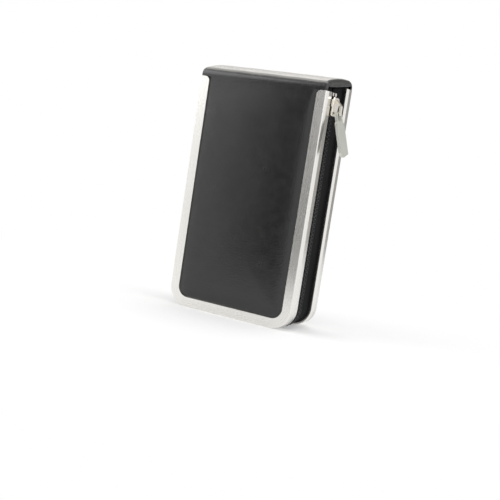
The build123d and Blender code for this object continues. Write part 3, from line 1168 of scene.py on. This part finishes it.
def rounded_ring(half_width: float, half_height: float, radius: float) -> np.ndarray:
    """Points round a rounded rectangle, as many for every size.

    Args:
        half_width: Half of its width.
        half_height: Half of its height.
        radius: Radius of its corners.

    Returns:
        The points in order, across and up.
    """
    arcs = []
    for quarter, (across, up) in enumerate(((1, 1), (-1, 1), (-1, -1), (1, -1))):
        angle = (quarter + np.linspace(0, 1, 10)) * math.pi / 2
        x = across * (half_width - radius) + radius * np.cos(angle)
        z = up * (half_height - radius) + radius * np.sin(angle)
        arcs.append(rows(x, z))
    ring = []
    for arc, after in zip(arcs, arcs[1:] + arcs[:1]):
        straight = arc[-1] + (after[0] - arc[-1]) * np.linspace(0, 1, 26)[1:-1, None]
        ring += [arc, straight]
    return np.concatenate(ring)


def into_tray(half: Half, foot: float, points: np.ndarray, faces: Faces) -> Shape:
    """Put a mesh into a tray, with its faces outwards.

    Args:
        half: The tray's half.
        foot: How deep the level lies that the mesh stands on.
        points: Across, height and distance off that level.
        faces: The mesh's faces.

    Returns:
        The points in the case's own coordinates, and the faces.
    """
    depth = half.side * (CASE.depth / 2 - foot - points[:, 2])
    placed = rows(points[:, 0], depth, points[:, 1])
    return placed, faces if half is Half.REAR else turned_over(faces)


@dataclass(frozen=True)
class Stitch:
    """One stitch: its points along the seam and off the cloth, its thread's radius, and its step."""

    along: tuple[float, ...]
    rise: tuple[float, ...]
    wire: float
    step: float


@dataclass
class ToolPanel(HalfMaker):
    """Padded panel on a tray's floor, with a sewn channel round it."""

    half_width: float = 25.0
    half_height: float = 45.0
    middle: float = 50.0
    corner: float = 5.0
    foot: float = 3.0
    thickness: float = 1.0
    edge_round: float = 0.9
    tuck: float = 0.3
    bulge: float = 0.5
    bulge_length: float = 3.0
    snug: float = 0.97
    channel: float = 3.0
    groove: float = 0.4
    groove_width: float = 0.4
    under_strap: tuple[float, float] = (5.4, 10.0)
    strap_room: float = 5.3
    stitch: Stitch = Stitch((0.0, 0.25, 0.8, 1.35, 1.6), (-0.12, 0.04, 0.08, 0.04, -0.12), 0.13, 2.4)

    def build(self) -> list[Piece]:
        """Make the panel.

        Returns:
            The panel and the stitches in its channel.
        """
        edge = (0.0, 0.03, 0.12, 0.3, 0.55, 0.9, 1.4, 2.0, 2.3, 2.5, 2.65, 2.8, 3.0, 3.2, 3.35, 3.5, 3.75, 4.2)
        insets = np.concatenate((edge, np.linspace(4.9, 24.0, 22)))
        floor = self.ring(0.0) * np.array((1.0, 1.0, 0.0))
        shape = skin_rings(np.array([floor] + [self.ring(inset) for inset in insets]))
        shape = into_tray(self.half, self.foot, *shape)
        panel = self.piece("padded_panel", shape, self.finishes.panel, "panel_leather", "tool_panel")
        return [panel, self.stitches()]

    def height(self, x: np.ndarray, z: np.ndarray, inset: float) -> np.ndarray:
        """How far the panel stands off the floor, which is least where the straps lie on it.

        Args:
            x: Places across the panel.
            z: Heights.
            inset: How far they lie in from its edge.

        Returns:
            The distance off the floor.
        """
        edge = self.thickness * math.sqrt(1 - max(1 - inset / self.edge_round, 0.0) ** 2)
        free = np.ones_like(x)
        for _, strap in CASE.straps:
            free *= smoothstep(np.abs(z - strap), *self.under_strap)
        swell = self.bulge * (1 - math.exp(-max(inset - self.channel, 0) / self.bulge_length)) * free
        groove = self.groove * math.exp(-(((inset - self.channel) / self.groove_width) ** 2))
        tuck = self.tuck * (1 - edge / self.thickness) if inset < self.edge_round else 0.0
        return (edge + swell - groove) * self.snug - tuck

    def ring(self, inset: float) -> np.ndarray:
        """One ring of the panel.

        Args:
            inset: How far it lies in from the panel's edge.

        Returns:
            Its points: across, height and distance off the floor.
        """
        ring = rounded_ring(self.half_width - inset, self.half_height - inset, max(self.corner - inset, 0.4))
        x, z = ring[:, 0], ring[:, 1] + self.middle
        return rows(x, z, np.maximum(self.height(x, z, inset), 0.0))

    def stitches(self) -> Piece:
        """Sew the channel, one short stitch after another.

        Returns:
            The thread.
        """
        inset = self.channel
        ring = rounded_ring(self.half_width - inset, self.half_height - inset, self.corner - inset)
        loop = np.concatenate((ring, ring[:1]))
        gone = run_along(loop)
        heights = np.array([height for _, height in CASE.straps])
        bundle = Bundle()
        for start in np.arange(0.3, gone[-1] - 2.0, self.stitch.step):
            places = start + np.array(self.stitch.along)
            x, z = (np.interp(places, gone, loop[:, n]) for n in (0, 1))
            z = z + self.middle
            if np.abs(z[:, None] - heights).min() < self.strap_room:
                continue
            tall = self.height(x, z, inset) + np.array(self.stitch.rise)
            bundle.add(*tube(rows(x, z, tall), self.stitch.wire, THREAD_SIDES))
        shape = into_tray(self.half, self.foot, *bundle.shape())
        return self.piece("panel_stitches", shape, self.finishes.thread, "panel_leather")


@dataclass
class ToolStraps(HalfMaker):
    """The two elastic straps of a tray, each sewn down between its loops."""

    loops: tuple[tuple[float, float], ...]
    loop_height: float
    reach: float = 25.0
    foot: float = 4.0
    thickness: float = 0.5
    edge_round: float = 0.3
    width: float = 10.0
    bend: float = 1.2
    lean: float = 0.5
    tack_inset: float = 1.3
    tack_gap: float = 0.35
    stitch: Stitch = Stitch((0.0, 0.2, 0.5, 0.8, 1.0), (-0.1, 0.04, 0.07, 0.04, -0.1), 0.1, 1.5)

    def build(self) -> list[Piece]:
        """Make both straps.

        Returns:
            Each strap and its sewing.
        """
        made = []
        path = self.path()
        for place, height in CASE.straps:
            shape = into_tray(self.half, self.foot, *self.band(path, height))
            strap = self.piece(f"{place}_elastic", shape, self.finishes.elastic, "elastic", f"{place}_strap")
            made += [strap, self.sewing(place, height)]
        return made

    def path(self) -> np.ndarray:
        """Lead the strap over its loops, with a rounded bend at each corner.

        Returns:
            Its foot line from end to end: across, and up from the panel.
        """
        corners = [(-self.reach, 0.0)]
        for middle, width in self.loops:
            low, high = width / 2, width / 2 - self.lean
            corners += [(middle - low, 0.0), (middle - high, self.loop_height)]
            corners += [(middle + high, self.loop_height), (middle + low, 0.0)]
        corners.append((self.reach, 0.0))
        spots = [np.array(corners[0])]
        for before, here, after in zip(corners, corners[1:], corners[2:]):
            here = np.array(here)
            back, ahead = np.subtract(before, here), np.subtract(after, here)
            back, ahead = back / np.linalg.norm(back), ahead / np.linalg.norm(ahead)
            opening = math.acos(float(np.clip(back @ ahead, -1, 1)))
            run = self.bend / math.tan(opening / 2)
            middle = (back + ahead) / np.linalg.norm(back + ahead)
            centre = here + middle * self.bend / math.sin(opening / 2)
            first, last = here + back * run - centre, here + ahead * run - centre
            for share in np.linspace(0, 1, 7):
                spoke = first * (1 - share) + last * share
                spots.append(centre + spoke / np.linalg.norm(spoke) * self.bend)
        spots.append(np.array(corners[-1]))
        return np.array(spots)

    def band(self, path: np.ndarray, height: float) -> Shape:
        """A flat band with round edges.

        Args:
            path: The way it takes.
            height: The height of its middle line in the tray.

        Returns:
            Its points, as across, height and distance off the panel, and its faces.
        """
        along = headings(path)
        out = rows(-along[:, 1], along[:, 0])
        places = np.array((-1, -0.985, -0.95, -0.6, -0.2, 0.2, 0.6, 0.95, 0.985, 1)) * self.width / 2
        beyond = np.clip((np.abs(places) - self.width / 2) / self.edge_round + 1, 0, 1)
        low = self.thickness / 2 * (1 - np.sqrt(1 - beyond**2))
        rings = []
        for spot, way in zip(path, out):
            above = spot + way * (self.thickness - low[:, None])
            under = spot + way * low[:, None]
            top = rows(above[:, 0], height + places, above[:, 1])
            bottom = rows(under[:, 0], height + places, under[:, 1])[::-1]
            rings.append(np.concatenate((top, bottom[1:-1])))
        points, faces = skin_rings(np.array(rings))
        return points, turned_over(faces)

    def sewing(self, place: str, height: float) -> Piece:
        """Two rows of stitches across the strap in each valley and at each end.

        Args:
            place: Which strap it is.
            height: The height of its middle line in the tray.

        Returns:
            The thread.
        """
        valleys = [-self.reach + self.tack_inset, self.reach - self.tack_inset]
        for (left, left_width), (right, right_width) in zip(self.loops, self.loops[1:]):
            valleys.append((left + left_width / 2 + right - right_width / 2) / 2)
        bundle = Bundle()
        for valley in valleys:
            for row in (-self.tack_gap, self.tack_gap):
                for start in np.arange(-4.4, 3.6, self.stitch.step):
                    up = height + (start + np.array(self.stitch.along))
                    line = rows(valley + row, up, self.thickness + np.array(self.stitch.rise))
                    bundle.add(*tube(line, self.stitch.wire, THREAD_SIDES))
        shape = into_tray(self.half, self.foot, *bundle.shape())
        return self.piece(f"{place}_bar_tacks", shape, self.finishes.thread, "elastic")


# ---------------------------------------------------------------- studio


@dataclass(frozen=True)
class Softbox:
    """A square lamp: where it hangs, the length of its sides and its power in watts."""

    name: str
    place: Triple
    size: float
    power: float


@dataclass(frozen=True)
class Card:
    """A black, grey or lit sheet that only reflections show: its strength and its corners."""

    name: str
    strength: float
    corners: tuple[Triple, Triple, Triple, Triple]


SOFTBOXES = (
    Softbox("left_softbox", (-0.6, -0.45, 0.45), 0.6, 2.7),
    Softbox("top_softbox", (0.1, 0.1, 0.9), 0.7, 3.4),
    Softbox("right_softbox", (0.7, -0.1, 0.4), 0.5, 1.2),
)

CARDS = (
    Card("dark_card", 0.0, ((-0.13, -0.26, 0.0), (-0.048, -0.26, 0.0), (-0.048, -0.26, 0.5), (-0.13, -0.26, 0.5))),
    Card(
        "dark_floor_card",
        0.0,
        ((-0.13, -0.26, 0.0006), (-0.045, -0.26, 0.0006), (-0.0079, -0.12, 0.0006), (-0.0545, -0.12, 0.0006)),
    ),
    Card("grey_card", 0.36, ((0.16, 0.29, 0.0), (-0.04, 0.335, 0.0), (-0.04, 0.335, 0.4), (0.16, 0.29, 0.4))),
    Card("low_card", 1.2, ((-0.1, 0.4, 0.17), (-0.5, 0.25, 0.17), (-0.5, 0.25, 0.28), (-0.1, 0.4, 0.28))),
    Card("high_card", 3.0, ((-0.1, 0.4, 0.28), (-0.5, 0.25, 0.28), (-0.5, 0.1, 0.6), (-0.1, 0.2, 0.6))),
    Card("over_card", 4.0, ((-0.1, 0.2, 0.6), (-0.5, 0.1, 0.6), (-0.5, -0.12, 0.6), (-0.1, -0.08, 0.6))),
)


@dataclass
class Studio:
    """Pale floor and backdrop, soft lamps, cards for the reflections, and the camera."""

    lens: float = 72.5052
    sensor: float = 36.0
    clipping: tuple[float, float] = (0.01, 20.0)
    right: Triple = (0.860704, 0.485908, 0.151924)
    up: Triple = (-0.184882, 0.020282, 0.982551)
    back: Triple = (0.474349, -0.873774, 0.107292)
    place: Triple = (0.207469, -0.382576, 0.075751)
    aim: Triple = (0.0, 0.0, 0.05)
    floor_reach: float = 4.0
    shadow_reach: tuple[float, float] = (0.06, 0.2)
    paper: Triple = (0.92, 0.92, 0.92)
    near_floor: float = 0.3
    fill_light: float = 0.6
    card_warmth: Triple = (1.0, 0.97, 0.93)

    def build(self) -> None:
        """Make the stage."""
        self.floor()
        self.world()
        for box in SOFTBOXES:
            self.lamp(box)
        for card in CARDS:
            self.card(card)
        self.camera()

    @staticmethod
    def plane(name: str, corners: tuple[Triple, ...]) -> Piece:
        """A flat sheet.

        Args:
            name: Its name.
            corners: Its four corners in metres.

        Returns:
            The sheet, without a material.
        """
        mesh = bpy.data.meshes.new(name)
        mesh.from_pydata(corners, [], [(0, 1, 2, 3)])
        sheet = bpy.data.objects.new(name, mesh)
        bpy.context.scene.collection.objects.link(sheet)
        return sheet

    @staticmethod
    def shown_rays(tree: bpy.types.NodeTree) -> Socket:
        """Tell what is seen directly, in metal or through glass from light that falls on surfaces.

        Args:
            tree: The nodes of a material or of the world.

        Returns:
            1 for what is seen and 0 for light.
        """
        path = tree.nodes.new("ShaderNodeLightPath")
        seen = path.outputs["Is Camera Ray"]
        for name in ("Is Glossy Ray", "Is Transmission Ray"):
            either = tree.nodes.new("ShaderNodeMath")
            either.operation = "MAXIMUM"
            tree.links.new(seen, either.inputs[0])
            tree.links.new(path.outputs[name], either.inputs[1])
            seen = either.outputs[0]
        return seen

    @staticmethod
    def mix(tree: bpy.types.NodeTree, share: Socket, lit: bpy.types.Node, white: bpy.types.Node, end: str) -> None:
        """Send a mix of two shaders to the output.

        Args:
            tree: The nodes of a material or of the world.
            share: The share of the white one.
            lit: The shader that gives or takes light.
            white: The shader that is plainly seen.
            end: The name of the output node.
        """
        mix = tree.nodes.new("ShaderNodeMixShader")
        tree.links.new(share, mix.inputs[0])
        tree.links.new(lit.outputs[0], mix.inputs[1])
        tree.links.new(white.outputs[0], mix.inputs[2])
        tree.links.new(mix.outputs[0], tree.nodes[end].inputs[0])

    def floor(self) -> None:
        """A white floor that keeps the case's shadow near it and is plain white further off."""
        far = self.floor_reach
        floor = self.plane("studio_floor", ((-far, -far, 0), (far, -far, 0), (far, far, 0), (-far, far, 0)))
        graph = Graph("studio_paper")
        paper = graph.dress(Base_Color=self.paper, Roughness=0.9, Specular_IOR_Level=0.1)
        spot = graph.node("TexCoord", {}).outputs["Object"]
        away = graph.node("VectorMath", {0: spot}, operation="LENGTH").outputs["Value"]
        near, plain = self.shadow_reach
        share = graph.node("MapRange", {0: away, 1: near, 2: plain, 3: self.near_floor, 4: 1.0}).outputs[0]
        white = graph.node("Emission", {})
        share = graph.math("MULTIPLY", self.shown_rays(graph.tree), share)
        self.mix(graph.tree, share, graph.shader, white, "Material Output")
        floor.data.materials.append(paper)

    def world(self) -> None:
        """A white backdrop all round, at a plain level for the light that it gives."""
        world = bpy.data.worlds.new("studio")
        bpy.context.scene.world = world
        world.use_nodes = True
        tree = world.node_tree
        light, white = tree.nodes["Background"], tree.nodes.new("ShaderNodeBackground")
        for shader, strength in ((light, self.fill_light), (white, 1.0)):
            shader.inputs[0].default_value = (1, 1, 1, 1)
            shader.inputs[1].default_value = strength
        self.mix(tree, self.shown_rays(tree), light, white, "World Output")

    def lamp(self, box: Softbox) -> None:
        """Hang one lamp, turned towards the case.

        Args:
            box: The lamp.
        """
        lamp = bpy.data.lights.new(box.name, "AREA")
        lamp.shape = "SQUARE"
        lamp.size = box.size
        lamp.energy = box.power
        holder = bpy.data.objects.new(box.name, lamp)
        turn = (Vector(self.aim) - Vector(box.place)).to_track_quat("-Z", "Y").to_matrix().to_4x4()
        holder.matrix_world = Matrix.Translation(box.place) @ turn
        bpy.context.scene.collection.objects.link(holder)

    def card(self, card: Card) -> None:
        """Stand one card beside the case, seen only in its reflections.

        Args:
            card: The card.
        """
        sheet = self.plane(card.name, card.corners)
        material = bpy.data.materials.new(card.name)
        material.use_nodes = True
        nodes, links = material.node_tree.nodes, material.node_tree.links
        glow = nodes.new("ShaderNodeEmission")
        glow.inputs[0].default_value = (*(card.strength * part for part in self.card_warmth), 1)
        links.new(glow.outputs[0], nodes["Material Output"].inputs[0])
        sheet.data.materials.append(material)
        sheet.visible_camera = False
        sheet.visible_shadow = False
        sheet.visible_diffuse = False

    def camera(self) -> None:
        """The camera, at the height of the case's upper half and tilted with it."""
        data = bpy.data.cameras.new("camera")
        data.lens = self.lens
        data.sensor_width = self.sensor
        data.clip_start, data.clip_end = self.clipping
        camera = bpy.data.objects.new("camera", data)
        turn = Matrix((self.right, self.up, self.back)).transposed().to_4x4()
        camera.matrix_world = Matrix.Translation(self.place) @ turn
        bpy.context.scene.collection.objects.link(camera)
        bpy.context.scene.camera = camera


# ---------------------------------------------------------------- assembly


BROKEN_EDGES = {"slider_body": 0.18, "pull_tab": 0.16, "front_trim": 0.12, "rear_trim": 0.12}
SHARP_FROM = math.radians(35)

LOOPS = {
    Half.FRONT: (((-16.5, 11.0), (-1.5, 10.0), (14.5, 13.0)), 4.4),
    Half.REAR: (((-15.5, 14.0), (1.0, 11.0), (16.0, 12.0)), 7.5),
}


def dress_nodes(nodes: dict[str, Piece], finishes: Finishes) -> None:
    """Give each carried-over node its finish, and break the sharp edges of the metal ones.

    Args:
        nodes: The frame's nodes by name.
        finishes: The materials.
    """
    by_ending = {
        "_trim": finishes.trim,
        "_leather": finishes.leather,
        "_padding": finishes.foam,
        "_board": finishes.board,
        "_rim": finishes.rim,
        "_lining": finishes.lining,
        "_zip_tape": finishes.tape,
        "_zip_teeth": finishes.coil,
        "_tool_panel": finishes.panel,
        "_strap": finishes.elastic,
        "_stop": finishes.stop,
        "slider_body": finishes.slider,
        "pull_tab": finishes.pull,
    }
    for name, node in nodes.items():
        finish = next(found for ending, found in by_ending.items() if name.endswith(ending))
        for slot in node.material_slots:
            slot.material = finish
        if name in BROKEN_EDGES:
            edges = node.modifiers.new("broken_edges", "BEVEL")
            edges.width = BROKEN_EDGES[name] * MM
            edges.segments = 2
            edges.limit_method = "ANGLE"
            edges.angle_limit = SHARP_FROM
        LOG.info("node %s: %s, %s", name, finish.name, len(node.data.polygons))


def main() -> None:
    """Build the case round its frame."""
    logging.basicConfig(level=logging.INFO, format="%(message)s")
    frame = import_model()
    bpy.context.scene.view_settings.view_transform = "Standard"
    finishes = Finishes()
    dress_nodes(frame["nodes"], finishes)
    for half in Half:
        for maker in (
            LeatherCover(half, finishes),
            ZipCoil(half, finishes),
            ZipTape(half, finishes),
            ToolPanel(half, finishes),
            ToolStraps(half, finishes, *LOOPS[half]),
        ):
            for piece in maker.build():
                LOG.info("piece %s", piece.name)
    Studio().build()


if __name__ == "__main__":
    main()
